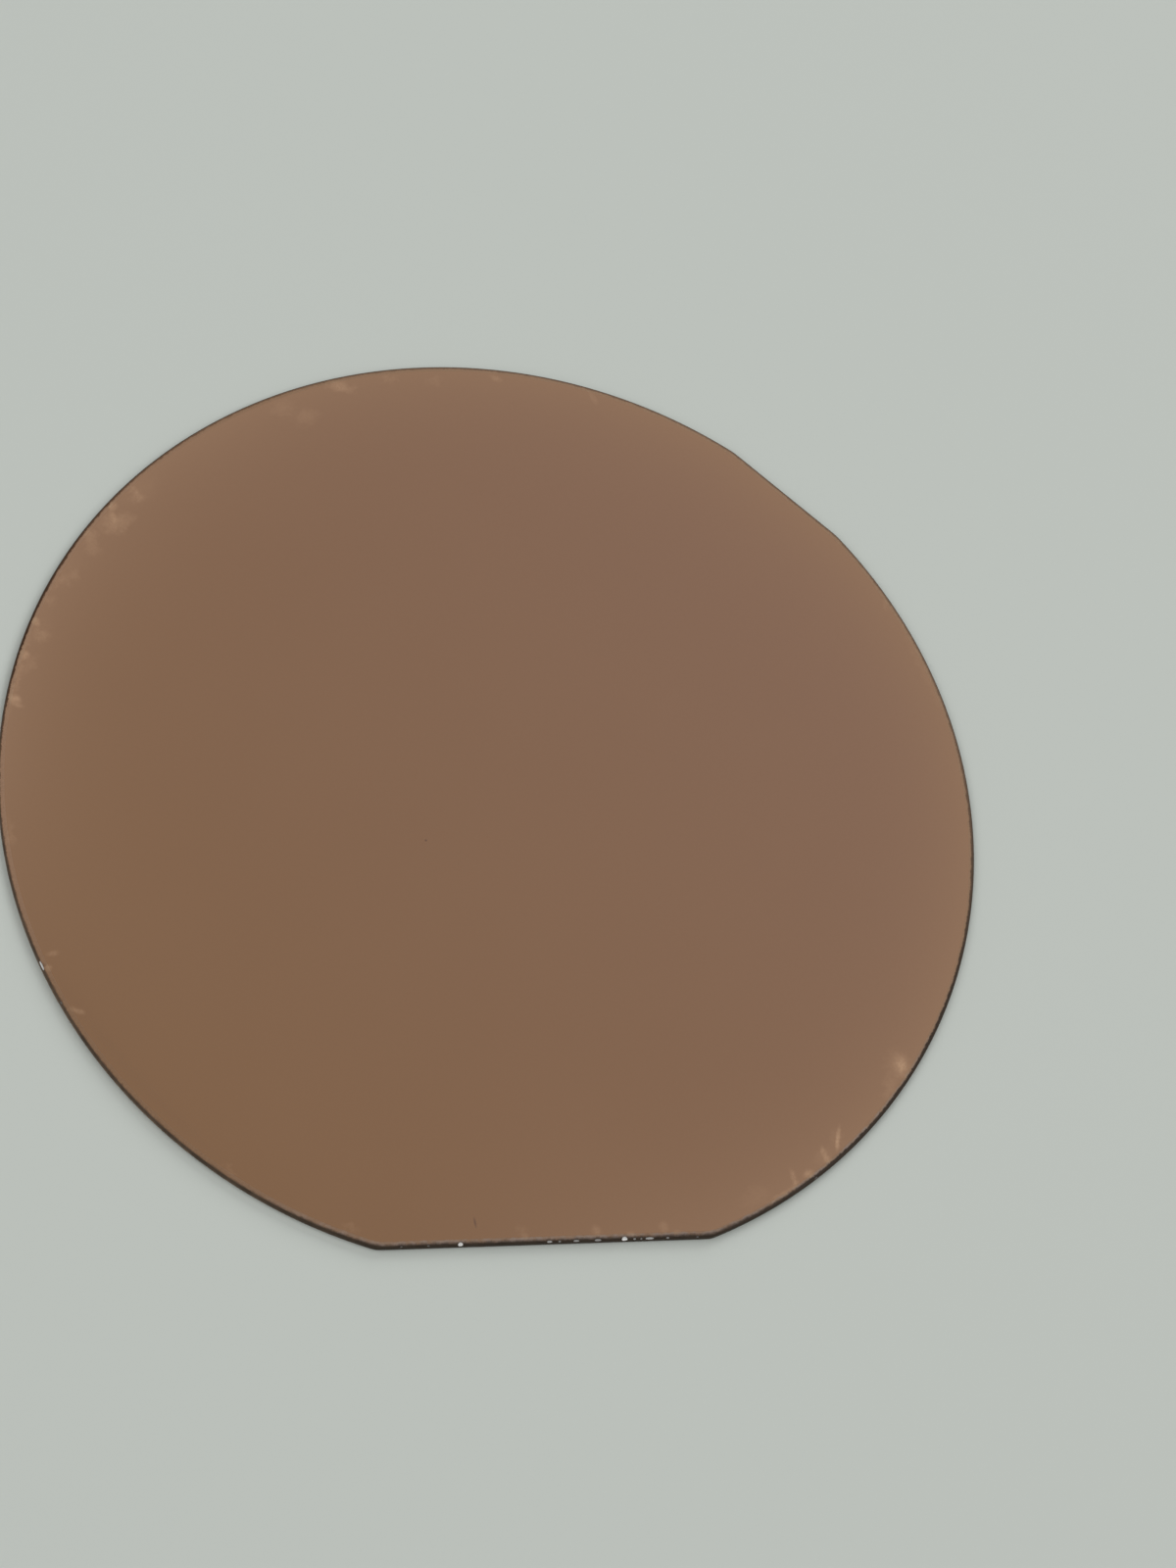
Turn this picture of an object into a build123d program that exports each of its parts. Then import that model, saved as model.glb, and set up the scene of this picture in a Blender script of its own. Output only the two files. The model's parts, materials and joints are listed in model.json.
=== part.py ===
from build123d import *
import os
from math import sqrt

# A wafer of a single crystal: a thin round plate with two ground orientation flats,
# a ground bevel on both edges of its rim, and small flake scars along its front edge.
# It lies on its back face. The origin is the centre of that face, +Z comes out of the
# front face and the primary flat faces -Y.

# Plate, in millimetres
wafer_diameter = 50.8
wafer_thickness = 0.5

# Orientation flats: chord lengths, and bearings in degrees from +X as seen from the front
primary_flat_length = 17.0
secondary_flat_length = 7.0
primary_flat_bearing = -90.0
secondary_flat_bearing = 45.0
flat_corner_radius = 1.5

# Ground edge: the bevel's width on the face, its drop down the rim, and its blend into the rim
bevel_width = 0.3
bevel_drop = 0.06
nose_radius = 0.08

# Flake scars on the front edge of the primary flat, each a long shallow scoop:
# place as a share of half the flat, length and depth as shares of the thickness
flat_flake_shares = (
    (-0.86, 0.26, 0.11),
    (-0.70, 0.30, 0.11),
    (-0.51, 0.50, 0.28),
    (0.02, 0.56, 0.16),
    (0.08, 0.30, 0.12),
    (0.18, 0.64, 0.16),
    (0.31, 0.70, 0.17),
    (0.47, 0.56, 0.29),
    (0.53, 0.32, 0.13),
    (0.57, 0.24, 0.11),
    (0.62, 0.90, 0.16),
    (0.73, 0.34, 0.14),
    (0.91, 0.30, 0.11),
)

# Flake scars on the front edge of the round rim: bearing in degrees from +X,
# length and depth as shares of the thickness
rim_flake_shares = (
    (-160.4, 1.10, 0.15),
    (-155.5, 0.36, 0.11),
    (-55.8, 0.42, 0.11),
)

wafer_radius = wafer_diameter / 2
front_nose_height = wafer_thickness - bevel_drop


def flat_offset(flat_length):
    """Distance from the wafer's centre to a flat of the given chord length."""
    return sqrt(wafer_radius**2 - (flat_length / 2) ** 2)


def flake_cutter(length_share, depth_share):
    """A spindle about Y that scoops one flake scar out of an edge that runs along Y."""
    half_length = length_share * wafer_thickness / 2
    depth = depth_share * wafer_thickness
    with BuildPart() as cutter:
        with BuildSketch(Plane.XY):
            with BuildLine():
                ThreePointArc((0, -half_length), (depth, 0), (0, half_length))
                Line((0, half_length), (0, -half_length))
            make_face()
        revolve(axis=Axis.Y)
    return cutter.part


flat_flakes = [(place, flake_cutter(length, depth)) for place, length, depth in flat_flake_shares]
rim_flakes = [(bearing, flake_cutter(length, depth)) for bearing, length, depth in rim_flake_shares]

with BuildPart() as wafer:
    # Round plate with the two flats cut off and their corners eased
    with BuildSketch() as outline:
        Circle(wafer_radius)
        for flat_length, bearing in (
            (primary_flat_length, primary_flat_bearing),
            (secondary_flat_length, secondary_flat_bearing),
        ):
            with PolarLocations(flat_offset(flat_length), 1, start_angle=bearing):
                Rectangle(
                    wafer_radius,
                    wafer_diameter,
                    align=(Align.MIN, Align.CENTER),
                    mode=Mode.SUBTRACT,
                )
        fillet(outline.edges().filter_by(GeomType.LINE).vertices(), flat_corner_radius)
    extrude(amount=wafer_thickness)

    # Ground edge: the section of the grinding wheel, x inward and y up, run round the outline
    rim_path = outline.sketch.face().outer_wire()
    rim_start = rim_path @ 0
    rim_heading = rim_path % 0
    rim_inward = Axis.Z.direction.cross(rim_heading)
    with BuildSketch(Plane(origin=rim_start, x_dir=rim_inward, z_dir=rim_heading)) as wheel:
        with BuildLine():
            Polyline(
                (bevel_width, 0),
                (0, bevel_drop),
                (0, front_nose_height),
                (bevel_width, wafer_thickness),
                (-bevel_width, wafer_thickness),
                (-bevel_width, 0),
                close=True,
            )
        make_face()
        fillet(wheel.vertices().group_by(Axis.X)[1], nose_radius)
    sweep(path=rim_path, mode=Mode.SUBTRACT)

    # Flake scars along the primary flat, then those on the round rim
    for place_share, flake in flat_flakes:
        place = place_share * primary_flat_length / 2
        with Locations(Plane.XY.offset(front_nose_height)):
            with PolarLocations(flat_offset(primary_flat_length), 1, start_angle=primary_flat_bearing):
                with Locations((0, place)):
                    add(flake, mode=Mode.SUBTRACT)
    for bearing, flake in rim_flakes:
        with Locations(Plane.XY.offset(front_nose_height)):
            with PolarLocations(wafer_radius, 1, start_angle=bearing):
                add(flake, mode=Mode.SUBTRACT)

wafer.part.label = "wafer"

os.makedirs("parts", exist_ok=True)
export_step(wafer.part, "parts/wafer.step")
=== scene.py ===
"""Dresses the crystal wafer: a fine plate over its solid, five finishes, and a plain studio."""
# ruff: noqa: E402, E702

import json
import logging
import math
from dataclasses import dataclass, field
from enum import Enum
from typing import NamedTuple

import bpy
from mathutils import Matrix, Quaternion, Vector


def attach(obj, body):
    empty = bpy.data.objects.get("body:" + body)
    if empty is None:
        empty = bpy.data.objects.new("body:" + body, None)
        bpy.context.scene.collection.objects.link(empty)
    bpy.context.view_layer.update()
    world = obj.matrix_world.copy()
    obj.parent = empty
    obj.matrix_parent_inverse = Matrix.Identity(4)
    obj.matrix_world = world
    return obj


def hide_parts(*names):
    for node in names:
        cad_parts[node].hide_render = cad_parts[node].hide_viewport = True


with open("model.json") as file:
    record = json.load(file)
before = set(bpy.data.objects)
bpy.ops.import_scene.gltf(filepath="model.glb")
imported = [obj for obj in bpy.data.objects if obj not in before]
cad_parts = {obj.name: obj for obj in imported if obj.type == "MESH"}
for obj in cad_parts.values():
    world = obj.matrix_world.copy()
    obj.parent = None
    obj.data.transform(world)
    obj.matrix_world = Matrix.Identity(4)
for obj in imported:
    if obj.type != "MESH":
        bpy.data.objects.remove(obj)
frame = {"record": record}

NODE = "wafer"
BODY = "root"
MM = 0.001
FLAT_EASE = {"primary": 0.13 * MM, "secondary": 0.05 * MM}
FLAKE_ATTRIBUTES = {
    "flake_size": "FLOAT_VECTOR",
    "flake_turn": "FLOAT_VECTOR",
    "flake_shine": "FLOAT",
}
GLINT = "glint"
STEP_INPUTS = ("Value", "From Min", "From Max", "To Min", "To Max")
GRAIN_INPUTS = ("Vector", "Scale", "Detail", "Roughness", "Distortion")
RULE_INPUTS = ("Turn", "Inset", "Height")
NOISE_MIDDLE = 0.5
BUMP_DEPTH = 0.01 * MM
LOG = logging.getLogger("wafer")

Colour = tuple[float, float, float]
Socket = bpy.types.NodeSocket
Sockets = bpy.types.bpy_prop_collection
Feed = Socket | float | int | bool | str | tuple
TreeInput = float | int | bpy.types.Material


class Run(Enum):
    """The stretch of the front edge that a flake scar is on."""

    FLAT = "primary flat"
    RIM = "round rim"


class Zone(Enum):
    """The parts of the plate that have a finish of their own."""

    FACE = "polished_face"
    CLEAN = "clean_face"
    BEVEL = "ground_bevel"
    EDGE = "ground_edge"
    BACK = "lapped_back"
    FLAKE = "fresh_flake"


class Step(NamedTuple):
    """A smooth step: the values at which it starts and ends, and its results there."""

    low: Feed
    high: Feed
    out_low: float = 0.0
    out_high: float = 1.0


class Side(NamedTuple):
    """A step towards a bearing in degrees, from -1 at the far rim to 1 at the near one."""

    bearing: float
    step: Step


class Grain(NamedTuple):
    """A noise: how fine it is, how many finer layers it has and how strong, and its swirl."""

    scale: float
    detail: float = 2.0
    roughness: float = 0.5
    swirl: float = 0.0


class Oval(NamedTuple):
    """A soft oval on the face, in millimetres, with its turn in degrees and its full share."""

    middle: tuple[float, float]
    sides: tuple[float, float]
    turn: float = 0.0
    core: float = 0.0


class Wiring:
    """Adds nodes to one node tree and links them."""

    def __init__(self, tree: bpy.types.NodeTree) -> None:
        """Keeps the tree that the nodes go into."""
        self.tree = tree

    def add(
        self, kind: str, feeds: dict[str | int, Feed] | None = None, **settings: object
    ) -> Sockets:
        """Adds one node.

        Args:
            kind: Blender's name of the node type.
            feeds: input name or number to the value or socket that feeds it.
            settings: properties of the node itself.

        Returns:
            The new node's outputs.
        """
        node = self.tree.nodes.new(kind)
        for name, value in settings.items():
            setattr(node, name, value)
        for key, value in (feeds or {}).items():
            self.feed(node.inputs[key], value)
        return node.outputs

    def feed(self, socket: Socket, value: Feed) -> None:
        """Links a socket to an input, or sets the input's own value.

        Args:
            socket: the input to feed.
            value: an output socket, or a plain value.
        """
        if isinstance(value, Socket):
            self.tree.links.new(value, socket)
        else:
            socket.default_value = value

    def math(self, operation: str, *values: Feed, clamp: bool = False) -> Socket:
        """Adds a Math node, kept from 0 to 1 if clamped, and returns its result."""
        feeds = dict(enumerate(values))
        return self.add("ShaderNodeMath", feeds, operation=operation, use_clamp=clamp)[0]

    def vector(self, operation: str, *values: Feed) -> Sockets:
        """Adds a Vector Math node and returns its outputs."""
        return self.add("ShaderNodeVectorMath", dict(enumerate(values)), operation=operation)

    def length(self, vector: Feed) -> Socket:
        """Measures a vector and returns its length."""
        return self.vector("LENGTH", vector)["Value"]

    def scale(self, vector: Feed, factor: Feed) -> Socket:
        """Scales a vector and returns the scaled one."""
        feeds = {0: vector, "Scale": factor}
        return self.add("ShaderNodeVectorMath", feeds, operation="SCALE")[0]

    def join(self, x: Feed, y: Feed, z: Feed) -> Socket:
        """Adds a Combine XYZ node and returns its vector."""
        return self.add("ShaderNodeCombineXYZ", {0: x, 1: y, 2: z})[0]

    def split(self, vector: Feed) -> list[Socket]:
        """Adds a Separate XYZ node and returns its three numbers."""
        return list(self.add("ShaderNodeSeparateXYZ", {0: vector}))

    def fade(self, value: Feed, step: Step) -> Socket:
        """Adds a smooth step of a value and returns its result."""
        feeds = dict(zip(STEP_INPUTS, (value, *step)))
        return self.add("ShaderNodeMapRange", feeds, interpolation_type="SMOOTHSTEP")["Result"]

    def mix(self, share: Feed, first: Feed, second: Feed) -> Socket:
        """Adds a colour mix and returns it. The share is how much of the second colour shows."""
        first, second = ((*c, 1.0) if isinstance(c, tuple) else c for c in (first, second))
        return self.add("ShaderNodeMix", {0: share, 6: first, 7: second}, data_type="RGBA")[2]

    def noise(self, place: Feed, grain: Grain, output: int | str = 0) -> Socket:
        """Adds a Noise Texture and returns one of its outputs, about 0.5 on average."""
        return self.add("ShaderNodeTexNoise", dict(zip(GRAIN_INPUTS, (place, *grain))))[output]

    def stray(self, place: Feed, grain: Grain, reach: float) -> Socket:
        """Moves a place by noise, as far as a reach, which feathers what is drawn there."""
        centred = self.vector("SUBTRACT", self.noise(place, grain, "Color"), (NOISE_MIDDLE,) * 3)
        return self.vector("MULTIPLY_ADD", centred[0], (2 * reach, 2 * reach, 0.0), place)[0]

    def bump(self, height: Feed, strength: float) -> Socket:
        """Adds a Bump node and returns its normal."""
        feeds = {"Strength": strength, "Distance": BUMP_DEPTH, "Height": height}
        return self.add("ShaderNodeBump", feeds)[0]

    def stored(self, name: str, kind: str = "FLOAT") -> Socket:
        """Adds a Named Attribute node and returns its value."""
        feeds = {"Name": name}
        return self.add("GeometryNodeInputNamedAttribute", feeds, data_type=kind)[0]


class Flat(NamedTuple):
    """A flat: its distance from the centre, the bearing that it faces, and its corners' ease."""

    offset: float
    bearing: float
    ease: float


@dataclass(frozen=True)
class PlateSizes:
    """The wafer's sizes in metres and its bearings in radians."""

    radius: float
    thickness: float
    primary: Flat
    secondary: Flat
    bevel_width: float = 0.30 * MM
    bevel_drop: float = 0.06 * MM
    nose_radius: float = 0.08 * MM

    @classmethod
    def from_record(cls, record: dict) -> "PlateSizes":
        """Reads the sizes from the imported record's mounts.

        Args:
            record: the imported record.

        Returns:
            The sizes.
        """
        mounts = {mount["name"]: mount for mount in record["mounts"]}
        flats = {}
        for name, ease in FLAT_EASE.items():
            outward = Vector(mounts[f"{name}_flat"]["axis"])
            offset = Vector(mounts[f"{name}_flat"]["pos_m"]).dot(outward)
            flats[name] = Flat(offset, math.atan2(outward.y, outward.x), ease)
        return cls(mounts["rim"]["dims"]["r_mm"] * MM, mounts["front_face"]["pos_m"][2], **flats)

    @property
    def primary_length(self) -> float:
        """The primary flat's length."""
        return 2 * math.sqrt(self.radius**2 - self.primary.offset**2)

    def outline(self) -> dict[str, float]:
        """The sizes that the outline's rule needs.

        Returns:
            Input name to size.
        """
        inputs = {"Radius": self.radius}
        for name, flat in (("Primary", self.primary), ("Secondary", self.secondary)):
            for size, value in flat._asdict().items():
                inputs[f"{name} {size.title()}"] = value
        return inputs

    def reach(self, bearing: float) -> float:
        """Distance from the centre to the outline.

        Args:
            bearing: the direction from the centre, in radians.

        Returns:
            The distance in metres.
        """
        reaches = [self.radius]
        for flat in (self.primary, self.secondary):
            lean = math.cos(bearing - flat.bearing)
            if lean > 0:
                reaches.append(flat.offset / lean)
        return min(reaches)


@dataclass(frozen=True)
class Flake:
    """A flake scar on the front edge: its place, its shares of the thickness, and its shine."""

    run: Run
    place: float
    length_share: float
    depth_share: float
    glint: float

    def spot(self, sizes: PlateSizes) -> tuple[Vector, float]:
        """Where the scar is.

        Args:
            sizes: the plate's sizes.

        Returns:
            The scar's middle, and the bearing that its edge faces.
        """
        height = sizes.thickness - sizes.bevel_drop
        if self.run is Run.RIM:
            turn = math.radians(self.place)
            x, y = sizes.radius * math.cos(turn), sizes.radius * math.sin(turn)
            return Vector((x, y, height)), turn
        turn = sizes.primary.bearing
        outward = Vector((math.cos(turn), math.sin(turn), 0.0))
        along = Vector((-outward.y, outward.x, 0.0)) * (self.place * sizes.primary_length / 2)
        return outward * sizes.primary.offset + along + Vector((0.0, 0.0, height)), turn


def scars(run: Run, *rows: tuple[float, ...]) -> list[Flake]:
    """Makes a flake scar on a stretch of each row of numbers."""
    return [Flake(run, *row) for row in rows]


@dataclass(frozen=True)
class Smudge:
    """A pale smear on the front face, just inside the rim, in millimetres and degrees."""

    bearing: float
    inset: float
    inward: float
    along: float
    strength: float
    slant: float = 0.0

    def oval(self, sizes: PlateSizes, core: float) -> Oval:
        """The smear's oval.

        Args:
            sizes: the plate's sizes.
            core: the share of it that is full.

        Returns:
            The oval.
        """
        turn = math.radians(self.bearing)
        reach = sizes.reach(turn) / MM - self.inset
        middle = (reach * math.cos(turn), reach * math.sin(turn))
        return Oval(middle, (self.inward, self.along), self.bearing + self.slant, core)


def smudges(*rows: tuple[float, ...]) -> tuple[Smudge, ...]:
    """Makes a smear of each row of numbers."""
    return tuple(Smudge(*row) for row in rows)


class PlateField(Wiring):
    """A material's nodes, with places and distances on the plate, from Object coordinates."""

    def __init__(self, tree: bpy.types.NodeTree, sizes: PlateSizes) -> None:
        """Wires up the place on the plate in millimetres and the distance in from the rim.

        Args:
            tree: the material's tree.
            sizes: the plate's sizes.
        """
        super().__init__(tree)
        self.sizes = sizes
        self.radius = sizes.radius / MM
        self.place = self.scale(self.add("ShaderNodeTexCoord")["Object"], 1 / MM)
        self.x, self.y, self.z = self.split(self.place)
        self.flat_place = self.join(self.x, self.y, 0.0)
        self.from_rim = self.math("SUBTRACT", self.radius, self.length(self.flat_place))
        for flat in (sizes.primary, sizes.secondary):
            inside = self.math("SUBTRACT", flat.offset / MM, self.along(flat.bearing))
            self.from_rim = self.math("SMOOTH_MIN", self.from_rim, inside, flat.ease / MM)

    def along(self, bearing: float) -> Socket:
        """How far a point lies along a bearing in radians from the centre, in millimetres."""
        outward = (math.cos(bearing), math.sin(bearing), 0.0)
        return self.vector("DOT_PRODUCT", self.place, outward)["Value"]

    def lean(self, side: Side) -> Socket:
        """A smooth step across the plate, by how much a point faces a bearing."""
        along = self.along(math.radians(side.bearing))
        return self.fade(self.math("DIVIDE", along, self.radius), side.step)

    def blot(self, place: Feed, oval: Oval) -> Socket:
        """A soft oval on the face.

        Args:
            place: the place on the plate, in millimetres.
            oval: the oval.

        Returns:
            1 in the oval's core, 0 outside it.
        """
        feeds = {
            "Vector": place,
            "Location": (*oval.middle, 0.0),
            "Rotation": (0.0, 0.0, math.radians(oval.turn)),
            "Scale": (*oval.sides, 1.0),
        }
        local = self.add("ShaderNodeMapping", feeds, vector_type="TEXTURE")[0]
        return self.fade(self.length(local), Step(oval.core, 1.0, 1.0, 0.0))


@dataclass(frozen=True)
class Smears:
    """The pale smears inside the rim: crisp streaks and feathery veils with a fine mottle."""

    strength: float = 0.80
    core: float = 0.1
    feather: Grain = Grain(2.6, 3.0, 0.6)
    streak_feather: float = 0.12
    veil_feather: float = 0.50
    wisps: Grain = Grain(4.0, 5.0, 0.68, 1.2)
    mottle: Step = Step(0.34, 0.66, 0.62, 1.16)
    streaks: tuple[Smudge, ...] = smudges(
        (-37.6, 0.75, 0.85, 0.56, 0.55, -52.0), (-37.65, 0.72, 0.46, 0.34, 0.50, -52.0),
        (-50.4, 0.83, 0.95, 0.17, 0.85, -52.7), (-51.0, 0.62, 0.50, 0.17, 0.40, -52.7),
        (-53.05, 0.71, 0.62, 0.23, 0.55, -20.0), (-53.3, 0.40, 0.28, 0.26, 0.35),
        (-56.3, 0.42, 0.34, 0.42, 0.66), (-58.0, 0.76, 0.62, 0.22, 0.50, -18.7),
        (-58.3, 0.41, 0.28, 0.28, 0.35), (138.0, 0.69, 1.00, 0.24, 0.34, -41.7),
        (136.9, 0.37, 0.30, 0.36, 0.55), (155.3, 0.33, 0.40, 0.28, 0.75, -41.2),
        (159.9, 0.45, 0.30, 0.36, 0.60), (165.8, 0.48, 0.42, 0.40, 0.85),
        (166.5, 0.65, 0.45, 0.20, 0.50), (103.2, 0.58, 0.42, 0.62, 0.60),
        (83.6, 0.56, 0.52, 0.24, 0.36, 72.5), (71.3, 0.57, 0.60, 0.22, 0.30, 42.5),
        (-159.8, 0.27, 0.22, 0.28, 0.42), (-161.3, 0.78, 0.20, 0.45, 0.40, -95.0),
        (-153.8, 0.50, 0.20, 0.55, 0.50, -138.0), (-92.6, 0.35, 0.28, 0.30, 0.30),
        (-83.7, 0.48, 0.45, 0.36, 0.36), (-75.5, 0.59, 0.45, 0.36, 0.32),
        (-79.7, 0.29, 0.22, 0.30, 0.26), (-74.3, 0.27, 0.22, 0.30, 0.26),
    )
    veils: tuple[Smudge, ...] = smudges(
        (-37.9, 0.82, 1.25, 1.00, 0.26, -52.0), (-40.6, 0.66, 0.75, 0.45, 0.24, -52.0),
        (-50.6, 0.95, 0.80, 0.50, 0.14, -52.7), (-53.3, 0.60, 0.60, 0.80, 0.16),
        (-60.2, 0.30, 0.22, 1.40, 0.36), (-63.5, 0.90, 0.70, 1.30, 0.14),
        (-113.1, 0.56, 0.34, 0.60, 0.16), (-128.3, 0.40, 0.24, 0.60, 0.12),
        (-177.0, 0.42, 0.30, 1.00, 0.20), (-92.9, 0.68, 0.32, 0.40, 0.16),
        (-41.9, 0.50, 0.30, 0.50, 0.16), (-38.8, 0.50, 0.30, 0.32, 0.16),
        (26.2, 0.40, 0.24, 0.50, 0.16), (149.9, 0.36, 0.24, 0.44, 0.18),
        (133.6, 0.55, 0.42, 0.42, 0.36), (133.8, 0.93, 0.48, 0.48, 0.34),
        (133.0, 0.85, 0.90, 1.60, 0.11), (138.8, 0.97, 0.95, 0.95, 0.40),
        (137.3, 1.36, 0.60, 0.72, 0.28), (142.0, 0.54, 0.55, 0.60, 0.32),
        (143.2, 0.98, 0.70, 0.60, 0.26), (147.5, 0.92, 0.50, 0.50, 0.22),
        (148.8, 0.61, 0.50, 0.55, 0.26), (147.0, 0.75, 0.80, 1.60, 0.07),
        (152.0, 0.49, 0.50, 0.50, 0.24), (156.7, 0.93, 0.60, 0.50, 0.30),
        (156.0, 0.65, 0.80, 1.60, 0.07), (161.1, 0.80, 0.90, 0.36, 0.24, 66.8),
        (162.0, 0.33, 0.24, 3.40, 0.30), (17.0, 0.38, 0.36, 4.50, 0.10),
        (102.1, 0.88, 0.42, 0.55, 0.28), (104.2, 0.39, 0.32, 0.55, 0.26),
        (108.9, 1.76, 0.75, 1.00, 0.26), (111.2, 0.89, 0.70, 1.00, 0.20),
        (96.9, 0.59, 0.46, 0.62, 0.22), (91.3, 0.85, 0.46, 0.62, 0.16),
    )

    def share(self, plate: PlateField, reach: float = math.inf) -> Socket:
        """Wires up the smears.

        Args:
            plate: the material's nodes.
            reach: how far in from the rim a smear may start, in millimetres.

        Returns:
            The smears' share.
        """
        total: Feed = 0.0
        kinds = ((self.streaks, self.streak_feather), (self.veils, self.veil_feather))
        for marks, feather in kinds:
            feathered = plate.stray(plate.flat_place, self.feather, feather)
            for smudge in marks:
                if smudge.inset - max(smudge.inward, smudge.along) <= reach:
                    blot = plate.blot(feathered, smudge.oval(plate.sizes, self.core))
                    total = plate.math("MULTIPLY_ADD", blot, smudge.strength, total)
        mottle = plate.fade(plate.noise(plate.flat_place, self.wisps), self.mottle)
        mottled = plate.math("MULTIPLY", total, mottle)
        return plate.math("MULTIPLY", mottled, self.strength, clamp=True)


@dataclass(frozen=True)
class Finish:
    """What every finish has: its zone, its refractive index and its specular level."""

    zone: Zone
    ior: float
    specular: float

    def material(self, sizes: PlateSizes) -> bpy.types.Material:
        """Makes the material.

        Args:
            sizes: the plate's sizes.

        Returns:
            The new material.
        """
        material = bpy.data.materials.new(self.zone.value)
        material.use_nodes = True
        plate = PlateField(material.node_tree, sizes)
        shader = material.node_tree.nodes["Principled BSDF"]
        shader.inputs["IOR"].default_value = self.ior
        shader.inputs["Specular IOR Level"].default_value = self.specular
        for name, value in self.feeds(plate).items():
            plate.feed(shader.inputs[name], value)
        return material

    def feeds(self, plate: PlateField) -> dict[str, Feed]:
        """Wires up one kind of finish, and returns shader input to what feeds it."""
        raise NotImplementedError


@dataclass(frozen=True)
class PolishedFace(Finish):
    """The mirror-polished front: clear orange-brown crystal, with a painted glow at the rim for
    light that comes through it, and its marks.
    """

    zone: Zone = Zone.FACE
    ior: float = 3.2
    specular: float = 0.5
    smeared: bool = True
    left: Colour = (0.267, 0.107, 0.013)
    right: Colour = (0.293, 0.131, 0.058)
    # Painted glow: this paler colour stands in for light coming through the crystal at its rim; the
    # faint clouds mix towards it too.
    glow: Colour = (0.368, 0.181, 0.074)
    smear: Colour = (0.610, 0.345, 0.175)
    scratch: Colour = (0.150, 0.045, 0.001)
    drift_bearing: float = math.radians(35.0)
    cloud: Grain = Grain(0.11, 1.0)
    cloud_glow: Step = Step(0.3, 0.7, 0.0, 0.04)
    glow_reach: float = 2.6
    glow_side: Side = Side(-127.0, Step(0.30, 0.97, 1.0, 0.0))
    band_bearing: float = math.radians(-144.0)
    band_half_turn: float = math.radians(8.0)
    band_inset: float = 0.85
    band_strength: float = 0.07
    grain: Grain = Grain(9.0, 3.0, 0.6)
    grain_dark: Step = Step(0.2, 0.8, 0.0, 0.05)
    polish: float = 0.07
    smear_roughness: float = 0.06
    flaws: tuple[Oval, Oval] = (
        Oval((-3.50, -22.80), (0.42, 0.095), turn=94.7),
        Oval((-3.81, -2.09), (0.10, 0.09), core=0.2),
    )
    smears: Smears = Smears()

    def feeds(self, plate: PlateField) -> dict[str, Feed]:
        """Wires up the drift of colour across the face, the painted glow at its rim and its marks.

        Args:
            plate: the material's nodes.

        Returns:
            Shader input to what feeds it.
        """
        drift = plate.along(self.drift_bearing)
        across = plate.math("MULTIPLY_ADD", drift, 1 / (2 * plate.radius), 0.5, clamp=True)
        colour = plate.mix(across, self.left, self.right)
        cloud = plate.noise(plate.place, self.cloud)
        colour = plate.mix(plate.fade(cloud, self.cloud_glow), colour, self.glow)
        # Painted glow at the rim, for light coming through the crystal.
        colour = plate.mix(self.rim_glow(plate), colour, self.glow)
        colour = plate.mix(self.dull_band(plate), colour, self.scratch)
        roughness: Feed = self.polish
        if self.smeared:
            smear = self.smears.share(plate)
            colour = plate.mix(smear, colour, self.smear)
            roughness = plate.math("MULTIPLY_ADD", smear, self.smear_roughness, self.polish)
        flaws = (plate.blot(plate.flat_place, oval) for oval in self.flaws)
        colour = plate.mix(plate.math("MAXIMUM", *flaws), colour, self.scratch)
        grain = plate.noise(plate.place, self.grain)
        colour = plate.mix(plate.fade(grain, self.grain_dark), colour, self.scratch)
        return {"Base Color": colour, "Roughness": roughness}

    def rim_glow(self, plate: PlateField) -> Socket:
        """The share of painted glow near the rim, for light coming through the crystal, all round
        but for one side.
        """
        fall = plate.math("POWER", math.exp(-1 / self.glow_reach), plate.from_rim)
        return plate.math("MULTIPLY", fall, plate.lean(self.glow_side), clamp=True)

    def dull_band(self, plate: PlateField) -> Socket:
        """The slightly darker band inside the rim, on the side that has no glow.

        Args:
            plate: the material's nodes.

        Returns:
            The band's share.
        """
        off_line = plate.math("SUBTRACT", plate.from_rim, self.band_inset)
        fall = Step(0.0, self.band_inset, 1.0, 0.0)
        along = plate.along(self.band_bearing)
        lean = plate.math("DIVIDE", along, plate.radius - self.band_inset)
        start, end = math.cos(2 * self.band_half_turn), math.cos(self.band_half_turn / 2)
        ends = plate.fade(lean, Step(start, end, 0.0, self.band_strength))
        return plate.math("MULTIPLY", plate.fade(plate.math("ABSOLUTE", off_line), fall), ends)


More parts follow.
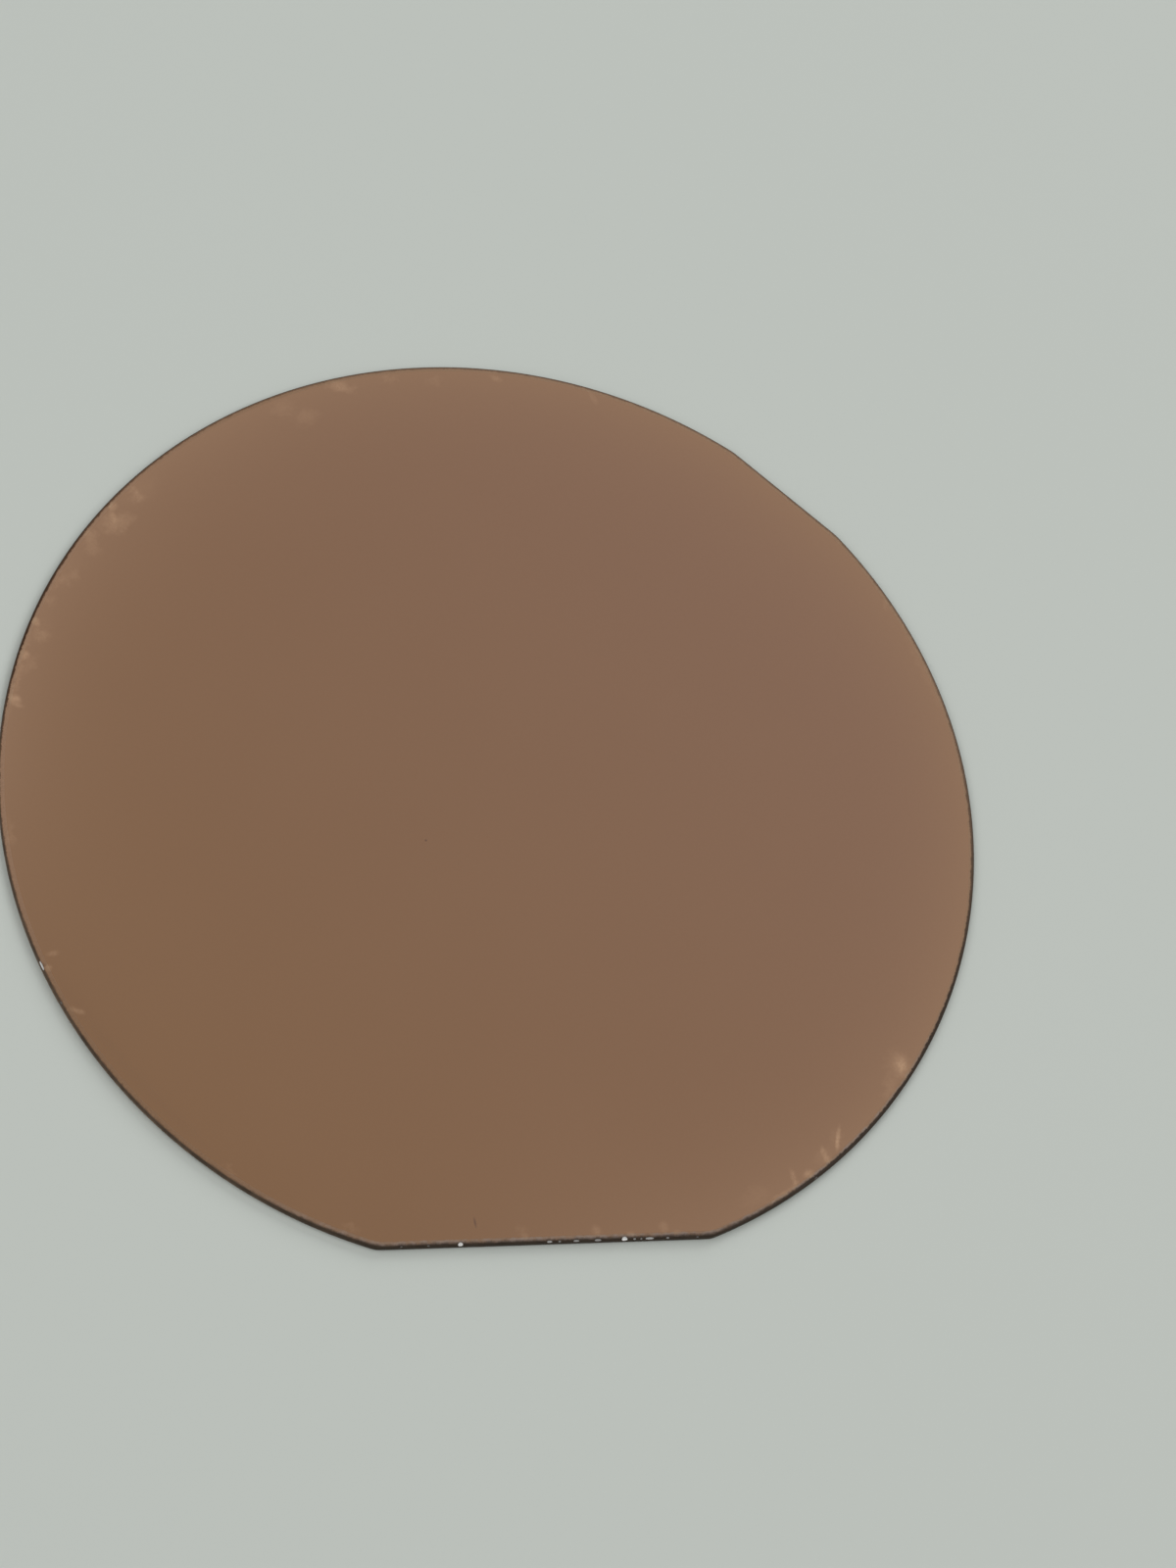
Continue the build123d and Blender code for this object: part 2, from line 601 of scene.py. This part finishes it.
@dataclass(frozen=True)
class GroundBevel(Finish):
    """The ground bevels between the faces and the rim: matt, patchy, with a ragged dark line that
    is partly painted shade.
    """

    zone: Zone = Zone.BEVEL
    ior: float = 1.5
    specular: float = 0.2
    left: Colour = (0.275, 0.157, 0.086)
    right: Colour = (0.330, 0.198, 0.118)
    grey: Colour = (0.330, 0.245, 0.198)
    dark: Colour = (0.030, 0.019, 0.012)
    umber: Colour = (0.036, 0.012, 0.001)
    smear: Colour = (0.560, 0.380, 0.230)
    glow: Colour = (0.352, 0.208, 0.128)
    drift: Side = Side(35.0, Step(-1.0, 1.0))
    glow_side: Side = Side(160.0, Step(0.65, 0.97))
    umber_side: Side = Side(160.0, Step(0.2, 0.9))
    grain: Grain = Grain(14.0, 3.0, 0.6)
    grain_dark: Step = Step(0.25, 0.8, 0.0, 0.22)
    grain_rough: Step = Step(0.3, 0.7, 0.5, 0.65)
    grain_bump: float = 0.2
    grey_side: Side = Side(-75.0, Step(0.55, 0.95))
    grey_grain: Grain = Grain(2.2, 3.0, 0.6)
    grey_patches: Step = Step(0.35, 0.62, 0.30, 1.10)
    grey_reach: Step = Step(0.19, 0.32, 1.0, 0.0)
    grey_wander: float = 0.12
    line_wander: float = 0.13
    # The dark line's width and depth change with the bearing: painted shade, fainter on the far
    # side and where the rim has painted bounce light.
    line_thin: Side = Side(-155.0, Step(0.60, 0.95, 0.72, 1.15))
    line_full: Side = Side(-35.0, Step(0.50, 0.85, 1.0, 0.82))
    line_dark: Side = Side(-100.0, Step(0.60, 0.95, 0.085, 0.020))
    line_clear: Side = Side(-100.0, Step(0.60, 0.95, 0.125, 0.175))
    line_bare: Side = Side(65.0, Step(-0.1, 0.75, 0.97, 0.48))
    line_worn: Side = Side(-155.0, Step(0.70, 0.97, 1.0, 0.52))
    nicks: tuple[Grain, Grain] = (Grain(3.5), Grain(13.0))
    smears: Smears = Smears()

    def feeds(self, plate: PlateField) -> dict[str, Feed]:
        """Wires up the bevel's patches, its smears and the dark line with its painted shade.

        Args:
            plate: the material's nodes.

        Returns:
            Shader input to what feeds it.
        """
        grain = plate.noise(plate.place, self.grain)
        colour = plate.mix(plate.lean(self.drift), self.left, self.right)
        colour = plate.mix(plate.lean(self.glow_side), colour, self.glow)
        colour = plate.mix(self.dulled(plate), colour, self.grey)
        colour = plate.mix(plate.fade(grain, self.grain_dark), colour, self.dark)
        smear = self.smears.share(plate, plate.sizes.bevel_width / MM)
        colour = plate.mix(smear, colour, self.smear)
        dark = plate.mix(plate.lean(self.umber_side), self.dark, self.umber)
        return {
            # The dark line: partly the nose's own dark colour, partly painted shade.
            "Base Color": plate.mix(self.dark_line(plate), colour, dark),
            "Roughness": plate.fade(grain, self.grain_rough),
            "Normal": plate.bump(grain, self.grain_bump),
        }

    def dulled(self, plate: PlateField) -> Socket:
        """How grey the grinding has left the bevel: in patches, most by the primary flat.

        Args:
            plate: the material's nodes.

        Returns:
            The grey's share.
        """
        patches = plate.fade(plate.noise(plate.place, self.grey_grain), self.grey_patches)
        inner = plate.fade(self.ragged(plate, self.grey_wander), self.grey_reach)
        sided = plate.math("MULTIPLY", patches, plate.lean(self.grey_side))
        return plate.math("MULTIPLY", inner, sided, clamp=True)

    def dark_line(self, plate: PlateField) -> Socket:
        """The dark line by the rim, partly the ground nose's own dark and partly painted shade that
        changes with the bearing: faint on the far side and where painted bounce light falls, soft
        by the primary flat.

        Args:
            plate: the material's nodes.

        Returns:
            The dark colour's share.
        """
        widths = plate.math("MULTIPLY", plate.lean(self.line_thin), plate.lean(self.line_full))
        inset = plate.math("MULTIPLY", self.ragged(plate, self.line_wander), widths)
        reach = Step(plate.lean(self.line_dark), plate.lean(self.line_clear), 1.0, 0.0)
        depth = plate.math("MULTIPLY", plate.lean(self.line_bare), plate.lean(self.line_worn))
        return plate.math("MULTIPLY", plate.fade(inset, reach), depth)

    def ragged(self, plate: PlateField, wander: float) -> Socket:
        """The distance in from the rim, made uneven by the grinding.

        Args:
            plate: the material's nodes.
            wander: how uneven it is, in millimetres.

        Returns:
            The distance in millimetres.
        """
        nicks = plate.math("ADD", *(plate.noise(plate.place, nick) for nick in self.nicks))
        centred = plate.math("SUBTRACT", nicks, len(self.nicks) * NOISE_MIDDLE)
        return plate.math("MULTIPLY_ADD", centred, wander, plate.from_rim)


@dataclass(frozen=True)
class GroundEdge(Finish):
    """The ground rim: dark, with fine grinding lines round it, and painted bounce light from the
    table that makes it paler low down and on one side.
    """

    zone: Zone = Zone.EDGE
    ior: float = 1.5
    specular: float = 0.1
    dark: Colour = (0.028, 0.019, 0.013)
    light: Colour = (0.070, 0.048, 0.033)
    # Colour of the painted bounce light from the table, low down on the rim.
    pale: Colour = (0.310, 0.205, 0.135)
    lines: Grain = Grain(2.2, 4.0, 0.6)
    line_squeeze: float = 30.0
    line_light: Step = Step(0.3, 0.75)
    line_rough: Step = Step(0.3, 0.7, 0.45, 0.65)
    line_bump: float = 0.3
    # Where the painted bounce light falls: most on one side, in patches, low down.
    worn_side: Side = Side(-160.0, Step(0.55, 0.97, 0.06, 1.0))
    worn_grain: Grain = Grain(1.4, 3.0, 0.6)
    worn_patches: Step = Step(0.35, 0.65, 0.5, 1.2)
    worn_height: float = 0.75
    worn_shares: tuple[float, float] = (0.85, 0.22)

    def feeds(self, plate: PlateField) -> dict[str, Feed]:
        """Wires up the grinding lines and the painted bounce light on one side.

        Args:
            plate: the material's nodes.

        Returns:
            Shader input to what feeds it.
        """
        squeezed = plate.math("MULTIPLY", plate.z, self.line_squeeze)
        lines = plate.noise(plate.join(plate.x, plate.y, squeezed), self.lines)
        colour = plate.mix(plate.fade(lines, self.line_light), self.dark, self.light)
        return {
            # Painted bounce light from the table: paler low down and on one side.
            "Base Color": plate.mix(self.worn(plate), colour, self.pale),
            "Roughness": plate.fade(lines, self.line_rough),
            "Normal": plate.bump(lines, self.line_bump),
        }

    def worn(self, plate: PlateField) -> Socket:
        """The share of painted bounce light from the table on the rim: in patches, low down, and
        most on one side.

        Args:
            plate: the material's nodes.

        Returns:
            The pale colour's share.
        """
        top = self.worn_height * plate.sizes.thickness / MM
        low = plate.fade(plate.z, Step(0.0, top, *self.worn_shares))
        patches = plate.fade(plate.noise(plate.flat_place, self.worn_grain), self.worn_patches)
        worn = plate.math("MULTIPLY", low, patches)
        return plate.math("MULTIPLY", worn, plate.lean(self.worn_side), clamp=True)


@dataclass(frozen=True)
class LappedBack(Finish):
    """The lapped back: satin, evenly pitted, a little paler than the front."""

    zone: Zone = Zone.BACK
    ior: float = 2.2
    specular: float = 0.5
    dark: Colour = (0.210, 0.100, 0.035)
    light: Colour = (0.300, 0.160, 0.075)
    cloud: Grain = Grain(0.16)
    cloud_light: Step = Step(0.3, 0.7)
    cloud_share: float = 0.35
    pits: Grain = Grain(22.0, 4.0, 0.65)
    pit_light: Step = Step(0.3, 0.7, 0.0, 0.65)
    pit_rough: Step = Step(0.3, 0.7, 0.42, 0.58)
    pit_bump: float = 0.3

    def feeds(self, plate: PlateField) -> dict[str, Feed]:
        """Wires up the pits and the faint clouds.

        Args:
            plate: the material's nodes.

        Returns:
            Shader input to what feeds it.
        """
        pits = plate.noise(plate.place, self.pits)
        clouds = plate.fade(plate.noise(plate.place, self.cloud), self.cloud_light)
        pale_pits = plate.fade(pits, self.pit_light)
        share = plate.math("MULTIPLY_ADD", clouds, self.cloud_share, pale_pits)
        return {
            "Base Color": plate.mix(share, self.dark, self.light),
            "Roughness": plate.fade(pits, self.pit_rough),
            "Normal": plate.bump(pits, self.pit_bump),
        }


@dataclass(frozen=True)
class FreshFlake(Finish):
    """The broken faces of the flake scars: a near-white painted glint where a scar shines, duller
    where crushed.
    """

    zone: Zone = Zone.FLAKE
    ior: float = 2.2
    specular: float = 0.5
    dull: Colour = (0.060, 0.045, 0.034)
    # Near-white painted glint: the shining scars' colour stands in for their highlights.
    bright: Colour = (0.950, 0.940, 0.920)
    crush: Grain = Grain(14.0)
    crush_dim: Step = Step(0.25, 0.6, 0.6, 1.0)
    crushed_roughness: float = 0.60
    clean_roughness: float = 0.25

    def feeds(self, plate: PlateField) -> dict[str, Feed]:
        """Wires up the shine that each scar carries.

        Args:
            plate: the material's nodes.

        Returns:
            Shader input to what feeds it.
        """
        glint = plate.add("ShaderNodeAttribute", attribute_name=GLINT)["Fac"]
        crush = plate.fade(plate.noise(plate.place, self.crush), self.crush_dim)
        share = plate.math("MULTIPLY", glint, crush, clamp=True)
        smoother = self.clean_roughness - self.crushed_roughness
        return {
            # Painted glint, near-white on the shining scars.
            "Base Color": plate.mix(share, self.dull, self.bright),
            "Roughness": plate.math("MULTIPLY_ADD", glint, smoother, self.crushed_roughness),
        }


@dataclass
class Wafer:
    """The crystal plate: its outline rule, its ground edge and its flake scars."""

    sizes: PlateSizes
    rim_steps: int = 1440
    nose_steps: int = 10
    flake_detail: int = 3
    flake_wobble: float = 0.012 * MM
    wobble_scale: float = 11.0 / MM
    wobble_detail: float = 1.0
    seed: int = 7
    smear_depth: float = 3.5 * MM
    middle_share: float = 0.5
    least_lean: float = 0.2
    half_step: float = 0.5
    ring_rows: int = 2
    weld: float = 0.001 * MM
    level_limit: float = 0.9995
    bevel_limit: float = 0.95
    flakes: tuple[Flake, ...] = (
        *scars(
            Run.FLAT,
            (-0.86, 0.26, 0.11, 0.02), (-0.70, 0.30, 0.11, 0.02), (-0.51, 0.50, 0.28, 1.0),
            (0.02, 0.56, 0.16, 0.42), (0.08, 0.30, 0.12, 0.2), (0.18, 0.64, 0.16, 0.24),
            (0.31, 0.70, 0.17, 0.28), (0.47, 0.56, 0.29, 1.0), (0.53, 0.32, 0.13, 0.24),
            (0.57, 0.24, 0.11, 0.24), (0.62, 0.90, 0.16, 0.48), (0.73, 0.34, 0.14, 0.2),
            (0.91, 0.30, 0.11, 0.02),
        ),
        *scars(
            Run.RIM,
            (-160.4, 1.10, 0.15, 0.7), (-155.5, 0.36, 0.11, 0.02), (-55.8, 0.42, 0.11, 0.02),
        ),
    )
    finishes: dict[Zone, bpy.types.Material] = field(default_factory=dict)

    def mix_finishes(self) -> None:
        """Makes the finishes. The middle of the front is out of the smears' reach."""
        clean = PolishedFace(zone=Zone.CLEAN, smeared=False)
        kinds = (PolishedFace(), clean, GroundBevel(), GroundEdge(), LappedBack(), FreshFlake())
        for finish in kinds:
            self.finishes[finish.zone] = finish.material(self.sizes)

    def inputs(self) -> dict[str, TreeInput]:
        """The named inputs of the plate's tree.

        Returns:
            Input name to value.
        """
        sizes = self.sizes
        return {
            **sizes.outline(),
            "Thickness": sizes.thickness,
            "Bevel Width": sizes.bevel_width,
            "Bevel Drop": sizes.bevel_drop,
            "Nose Radius": sizes.nose_radius,
            "Flake Wobble": self.flake_wobble,
            "Smear Depth": self.smear_depth,
            "Rim Steps": self.rim_steps,
            "Nose Steps": self.nose_steps,
            "Flake Detail": self.flake_detail,
            "Seed": self.seed,
            **{zone.value: material for zone, material in self.finishes.items()},
        }

    def flake_places(self) -> bpy.types.Mesh:
        """Makes a mesh with a point for each flake scar, which carries its size, turn and shine.

        Returns:
            The new mesh.
        """
        spots = [flake.spot(self.sizes) for flake in self.flakes]
        mesh = bpy.data.meshes.new("flake_places")
        mesh.from_pydata([spot for spot, _ in spots], [], [])
        for name, kind in FLAKE_ATTRIBUTES.items():
            mesh.attributes.new(name, kind, "POINT")
        for index, flake in enumerate(self.flakes):
            depth = flake.depth_share * self.sizes.thickness
            half_length = flake.length_share * self.sizes.thickness / 2
            mesh.attributes["flake_size"].data[index].vector = (depth, half_length, depth)
            mesh.attributes["flake_turn"].data[index].vector = (0.0, 0.0, spots[index][1])
            mesh.attributes["flake_shine"].data[index].value = flake.glint
        return mesh

    def outline_rule(self) -> bpy.types.NodeTree:
        """Makes the rule of the outline: a circle cut by two flats, with eased corners.

        Returns:
            A node group from a turn, an inset and a height to a place on the plate's edge.
        """
        tree = bpy.data.node_groups.new("outline_rule", "GeometryNodeTree")
        for name in (*RULE_INPUTS, *self.sizes.outline()):
            tree.interface.new_socket(name, in_out="INPUT", socket_type="NodeSocketFloat")
        tree.interface.new_socket("Place", in_out="OUTPUT", socket_type="NodeSocketVector")
        nodes = Wiring(tree)
        given = nodes.add("NodeGroupInput")
        reach = nodes.math("SUBTRACT", given["Radius"], given["Inset"])
        for flat in ("Primary", "Secondary"):
            off_bearing = nodes.math("SUBTRACT", given["Turn"], given[f"{flat} Bearing"])
            lean = nodes.math("MAXIMUM", nodes.math("COSINE", off_bearing), self.least_lean)
            inside = nodes.math("SUBTRACT", given[f"{flat} Offset"], given["Inset"])
            flat_reach = nodes.math("DIVIDE", inside, lean)
            reach = nodes.math("SMOOTH_MIN", reach, flat_reach, given[f"{flat} Ease"])
        x = nodes.math("MULTIPLY", reach, nodes.math("COSINE", given["Turn"]))
        y = nodes.math("MULTIPLY", reach, nodes.math("SINE", given["Turn"]))
        nodes.add("NodeGroupOutput", {"Place": nodes.join(x, y, given["Height"])})
        return tree

    def plate_tree(self) -> bpy.types.NodeTree:
        """Makes the plate's tree: the ground edge, the faces, the flake scars and the finishes.

        Returns:
            The new tree.
        """
        tree = bpy.data.node_groups.new("crystal_plate", "GeometryNodeTree")
        kinds = {float: "NodeSocketFloat", int: "NodeSocketInt"}
        sockets = tree.interface
        sockets.new_socket("Flake Places", in_out="INPUT", socket_type="NodeSocketGeometry")
        for name, value in self.inputs().items():
            kind = kinds.get(type(value), "NodeSocketMaterial")
            sockets.new_socket(name, in_out="INPUT", socket_type=kind)
        sockets.new_socket("Plate", in_out="OUTPUT", socket_type="NodeSocketGeometry")
        nodes = Wiring(tree)
        given = nodes.add("NodeGroupInput")
        shell, cutters = self.closed_shell(nodes, given), self.flake_cutters(nodes, given)
        feeds = {"Mesh 1": shell, "Mesh 2": cutters}
        cut = nodes.add("GeometryNodeMeshBoolean", feeds, operation="DIFFERENCE", solver="EXACT")[0]
        nodes.add("NodeGroupOutput", {"Plate": self.shade_and_dress(nodes, given, cut)})
        return tree

    def section(self, nodes: Wiring, given: Sockets) -> Socket:
        """Wires up the ground edge's section: x inward from the outline, y up.

        Args:
            nodes: the tree's nodes.
            given: the tree's inputs.

        Returns:
            The section as a curve.
        """
        front_nose = nodes.math("SUBTRACT", given["Thickness"], given["Bevel Drop"])
        corners = {
            "Point 1": nodes.join(given["Bevel Width"], 0.0, 0.0),
            "Point 2": nodes.join(0.0, given["Bevel Drop"], 0.0),
            "Point 3": nodes.join(0.0, front_nose, 0.0),
            "Point 4": nodes.join(given["Bevel Width"], given["Thickness"], 0.0),
        }
        curve = nodes.add("GeometryNodeCurvePrimitiveQuadrilateral", corners, mode="POINTS")[0]
        curve = nodes.add("GeometryNodeSetSplineCyclic", {0: curve, "Cyclic": False})[0]
        feeds = {"Curve": curve, "Count": given["Nose Steps"], "Radius": given["Nose Radius"]}
        return nodes.add("GeometryNodeFilletCurve", feeds, mode="POLY")[0]

    def closed_shell(self, nodes: Wiring, given: Sockets) -> Socket:
        """Wires up the plate with no scars: its edge, the ring that is smeared, and two discs.

        Args:
            nodes: the tree's nodes.
            given: the tree's inputs.

        Returns:
            The closed plate.
        """
        rule = self.outline_rule()
        width, depth, top = given["Bevel Width"], given["Smear Depth"], given["Thickness"]
        index = nodes.add("GeometryNodeInputIndex")[0]
        step = nodes.math("DIVIDE", math.tau, given["Rim Steps"])
        section = self.section(nodes, given)
        size = nodes.add("GeometryNodeAttributeDomainSize", {0: section}, component="CURVE")
        rows = size["Point Count"]
        row = nodes.math("MODULO", index, rows)
        position = nodes.add("GeometryNodeInputPosition")[0]
        feeds = {"Geometry": section, "Value": position, "Index": row}
        corner = nodes.add("GeometryNodeSampleIndex", feeds, data_type="FLOAT_VECTOR")[0]
        edge_inset, edge_height, _ = nodes.split(corner)
        ring_width = nodes.math("SUBTRACT", depth, width)
        ring_row = nodes.math("MODULO", index, self.ring_rows)
        ring_inset = nodes.math("MULTIPLY_ADD", ring_row, ring_width, width)
        columns = nodes.math("ADD", given["Rim Steps"], 1.0)
        parts = []
        grids = ((rows, edge_inset, edge_height), (self.ring_rows, ring_inset, top))
        for count, inset, height in grids:
            feeds = {"Vertices X": columns, "Vertices Y": count}
            grid = nodes.add("GeometryNodeMeshGrid", feeds)["Mesh"]
            column = nodes.math("DIVIDE", nodes.math("ADD", index, self.half_step), count)
            turn = nodes.math("MULTIPLY", nodes.math("FLOOR", column), step)
            parts.append((grid, turn, inset, height))
        for inset, height, is_back in ((depth, top, False), (width, 0.0, True)):
            feeds = {"Vertices": given["Rim Steps"]}
            disc = nodes.add("GeometryNodeMeshCircle", feeds, fill_type="NGON")[0]
            if is_back:
                disc = nodes.add("GeometryNodeFlipFaces", {0: disc})[0]
            turn = nodes.math("MULTIPLY", index, step)
            parts.append((disc, turn, inset, height))
        joined = nodes.add("GeometryNodeJoinGeometry")[0]
        outline = {name: given[name] for name in self.sizes.outline()}
        for mesh, *place in parts:
            feeds = outline | dict(zip(RULE_INPUTS, place))
            spot = nodes.add("GeometryNodeGroup", feeds, node_tree=rule)["Place"]
            part = nodes.add("GeometryNodeSetPosition", {"Geometry": mesh, "Position": spot})[0]
            nodes.feed(joined.node.inputs[0], part)
        return nodes.add("GeometryNodeMergeByDistance", {0: joined, "Distance": self.weld})[0]

    def flake_cutters(self, nodes: Wiring, given: Sockets) -> Socket:
        """Wires up one uneven lens at each flake scar.

        Args:
            nodes: the tree's nodes.
            given: the tree's inputs.

        Returns:
            The lenses as one mesh.
        """
        feeds = {"Radius": 1.0, "Subdivisions": given["Flake Detail"]}
        lens = nodes.add("GeometryNodeMeshIcoSphere", feeds)[0]
        size, turn, shine = (nodes.stored(name, kind) for name, kind in FLAKE_ATTRIBUTES.items())
        feeds = {"Points": given["Flake Places"], "Instance": lens, "Rotation": turn, "Scale": size}
        copies = nodes.add("GeometryNodeInstanceOnPoints", feeds)[0]
        solid = nodes.add("GeometryNodeRealizeInstances", {0: copies})[0]
        feeds = {"Geometry": solid, "Name": GLINT, "Value": shine}
        solid = nodes.add("GeometryNodeStoreNamedAttribute", feeds, domain="FACE")[0]
        for name in FLAKE_ATTRIBUTES:
            solid = nodes.add("GeometryNodeRemoveAttribute", {"Geometry": solid, "Name": name})[0]
        feeds = {"W": given["Seed"], "Scale": self.wobble_scale, "Detail": self.wobble_detail}
        noise = nodes.add("ShaderNodeTexNoise", feeds, noise_dimensions="4D")[0]
        centred = nodes.math("SUBTRACT", noise, NOISE_MIDDLE)
        swell = nodes.math("MULTIPLY", centred, given["Flake Wobble"])
        push = nodes.scale(nodes.add("GeometryNodeInputNormal")[0], swell)
        return nodes.add("GeometryNodeSetPosition", {"Geometry": solid, "Offset": push})[0]

    def shade_and_dress(self, nodes: Wiring, given: Sockets, plate: Socket) -> Socket:
        """Wires up the shading and the finishes of the cut plate.

        Args:
            nodes: the tree's nodes.
            given: the tree's inputs.
            plate: the cut plate.

        Returns:
            The finished plate.
        """
        up = nodes.split(nodes.add("GeometryNodeInputNormal")[0])[2]
        steep = nodes.math("ABSOLUTE", up)
        broken = nodes.math("GREATER_THAN", nodes.stored(GLINT), 0.0)
        level = nodes.math("GREATER_THAN", steep, self.level_limit)
        crisp = nodes.math("MAXIMUM", level, broken)
        for chosen, smooth in ((True, True), (crisp, False)):
            feeds = {0: plate, "Selection": chosen, "Shade Smooth": smooth}
            plate = nodes.add("GeometryNodeSetShadeSmooth", feeds)[0]
        plate = nodes.add("GeometryNodeRealizeInstances", {0: plate})[0]
        front = nodes.math("GREATER_THAN", up, self.level_limit)
        from_centre = nodes.length(nodes.add("GeometryNodeInputPosition")[0])
        middle_reach = nodes.math("MULTIPLY", given["Radius"], self.middle_share)
        middle = nodes.math("LESS_THAN", from_centre, middle_reach)
        zones = {
            Zone.EDGE: True,
            Zone.BEVEL: nodes.math("GREATER_THAN", steep, self.bevel_limit),
            Zone.FACE: front,
            Zone.CLEAN: nodes.math("MULTIPLY", front, middle),
            Zone.BACK: nodes.math("LESS_THAN", up, -self.level_limit),
            Zone.FLAKE: broken,
        }
        for zone, chosen in zones.items():
            feeds = {0: plate, "Selection": chosen, "Material": given[zone.value]}
            plate = nodes.add("GeometryNodeSetMaterial", feeds)[0]
        return plate

    def build(self) -> bpy.types.Object:
        """Builds the plate in place of its solid.

        Returns:
            The finished piece.
        """
        self.mix_finishes()
        source = bpy.data.objects.new("wafer_plate", self.flake_places())
        bpy.context.scene.collection.objects.link(source)
        tree = self.plate_tree()
        modifier = source.modifiers.new("crystal_plate", "NODES")
        modifier.node_group = tree
        values = self.inputs()
        for item in tree.interface.items_tree:
            if item.in_out == "INPUT" and item.name in values:
                modifier[item.identifier] = values[item.name]
        bpy.context.view_layer.update()
        ready = source.evaluated_get(bpy.context.evaluated_depsgraph_get())
        mesh = bpy.data.meshes.new_from_object(ready)
        source.modifiers.remove(modifier)
        spare = source.data
        source.data = mesh
        bpy.data.meshes.remove(spare)
        mesh.name = "wafer_plate"
        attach(source, BODY)
        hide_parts(NODE)
        return source


@dataclass(frozen=True)
class SoftLamp:
    """A square soft lamp that faces the wafer."""

    name: str
    bearing: float
    elevation: float
    power: float
    distance: float = 1.0
    side: float = 0.8

    def build(self) -> bpy.types.Object:
        """Makes the lamp.

        Returns:
            The lamp.
        """
        data = bpy.data.lights.new(self.name, "AREA")
        data.shape = "SQUARE"
        data.size = self.side
        data.energy = self.power
        lamp = bpy.data.objects.new(self.name, data)
        bpy.context.scene.collection.objects.link(lamp)
        turn, rise = math.radians(self.bearing), math.radians(self.elevation)
        level = math.cos(rise)
        away = Vector((level * math.cos(turn), level * math.sin(turn), math.sin(rise)))
        lamp.location = away * self.distance
        lamp.rotation_mode = "QUATERNION"
        lamp.rotation_quaternion = (-away).to_track_quat("-Z", "Y")
        return lamp


@dataclass
class Studio:
    """The pale table, the soft lamps and the dim room."""

    table_side: float = 3.0
    table: Colour = (0.606, 0.643, 0.600)
    table_roughness: float = 0.6
    table_specular: float = 0.2
    room: Colour = (0.22, 0.22, 0.22)
    lamps: tuple[SoftLamp, ...] = (
        SoftLamp("key_lamp", 55.0, 31.0, 3.1, side=0.6),
        SoftLamp("left_lamp", 165.0, 58.0, 2.0),
        SoftLamp("near_lamp", -140.0, 54.0, 2.0),
        SoftLamp("right_lamp", -25.0, 56.0, 2.4, side=0.7),
    )

    def build_table(self) -> bpy.types.Object:
        """Makes the table top that the wafer lies on.

        Returns:
            The table top.
        """
        half = self.table_side / 2
        corners = [(-half, -half, 0), (half, -half, 0), (half, half, 0), (-half, half, 0)]
        mesh = bpy.data.meshes.new("table_top")
        mesh.from_pydata(corners, [], [(0, 1, 2, 3)])
        table = bpy.data.objects.new("table_top", mesh)
        bpy.context.scene.collection.objects.link(table)
        material = bpy.data.materials.new("pale_table")
        material.use_nodes = True
        shader = material.node_tree.nodes["Principled BSDF"]
        shader.inputs["Base Color"].default_value = (*self.table, 1.0)
        shader.inputs["Roughness"].default_value = self.table_roughness
        shader.inputs["Specular IOR Level"].default_value = self.table_specular
        mesh.materials.append(material)
        return table

    def build_light(self) -> list[bpy.types.Object]:
        """Makes the room's dim light and the soft lamps.

        Returns:
            The lamps.
        """
        world = bpy.data.worlds.new("room")
        world.use_nodes = True
        background = world.node_tree.nodes["Background"]
        background.inputs["Color"].default_value = (*self.room, 1.0)
        bpy.context.scene.world = world
        return [lamp.build() for lamp in self.lamps]


@dataclass
class PhotoCamera:
    """The camera at the photograph's viewing angle."""

    place: tuple[float, float, float] = (-65.43 * MM, -118.895 * MM, 258.97 * MM)
    aim: tuple[float, float, float] = (5.157 * MM, 1.168 * MM, 0.0)
    roll: float = math.radians(26.56)
    lens: float = 131.24
    sensor: float = 36.0
    clip_start: float = 1.0 * MM
    clip_end: float = 20.0

    def build(self) -> bpy.types.Object:
        """Makes the camera and gives it to the scene.

        Returns:
            The camera.
        """
        data = bpy.data.cameras.new("photo_camera")
        data.sensor_width = self.sensor
        data.lens = self.lens
        data.clip_start = self.clip_start
        data.clip_end = self.clip_end
        camera = bpy.data.objects.new("photo_camera", data)
        bpy.context.scene.collection.objects.link(camera)
        ahead = (Vector(self.aim) - Vector(self.place)).to_track_quat("-Z", "Y")
        camera.location = self.place
        camera.rotation_mode = "QUATERNION"
        camera.rotation_quaternion = ahead @ Quaternion((0.0, 0.0, 1.0), self.roll)
        bpy.context.scene.camera = camera
        return camera


def main() -> None:
    """Builds the wafer and its studio."""
    logging.basicConfig(level=logging.INFO, format="%(name)s: %(message)s")
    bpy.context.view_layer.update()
    piece = Wafer(PlateSizes.from_record(frame["record"])).build()
    faces, finishes = len(piece.data.polygons), len(piece.data.materials)
    LOG.info("%s has %d faces and %d finishes", piece.name, faces, finishes)
    studio = Studio()
    for made in (studio.build_table(), *studio.build_light(), PhotoCamera().build()):
        LOG.info("%s is in place", made.name)
    bpy.context.scene.view_settings.view_transform = "Standard"


if __name__ == "__main__":
    main()
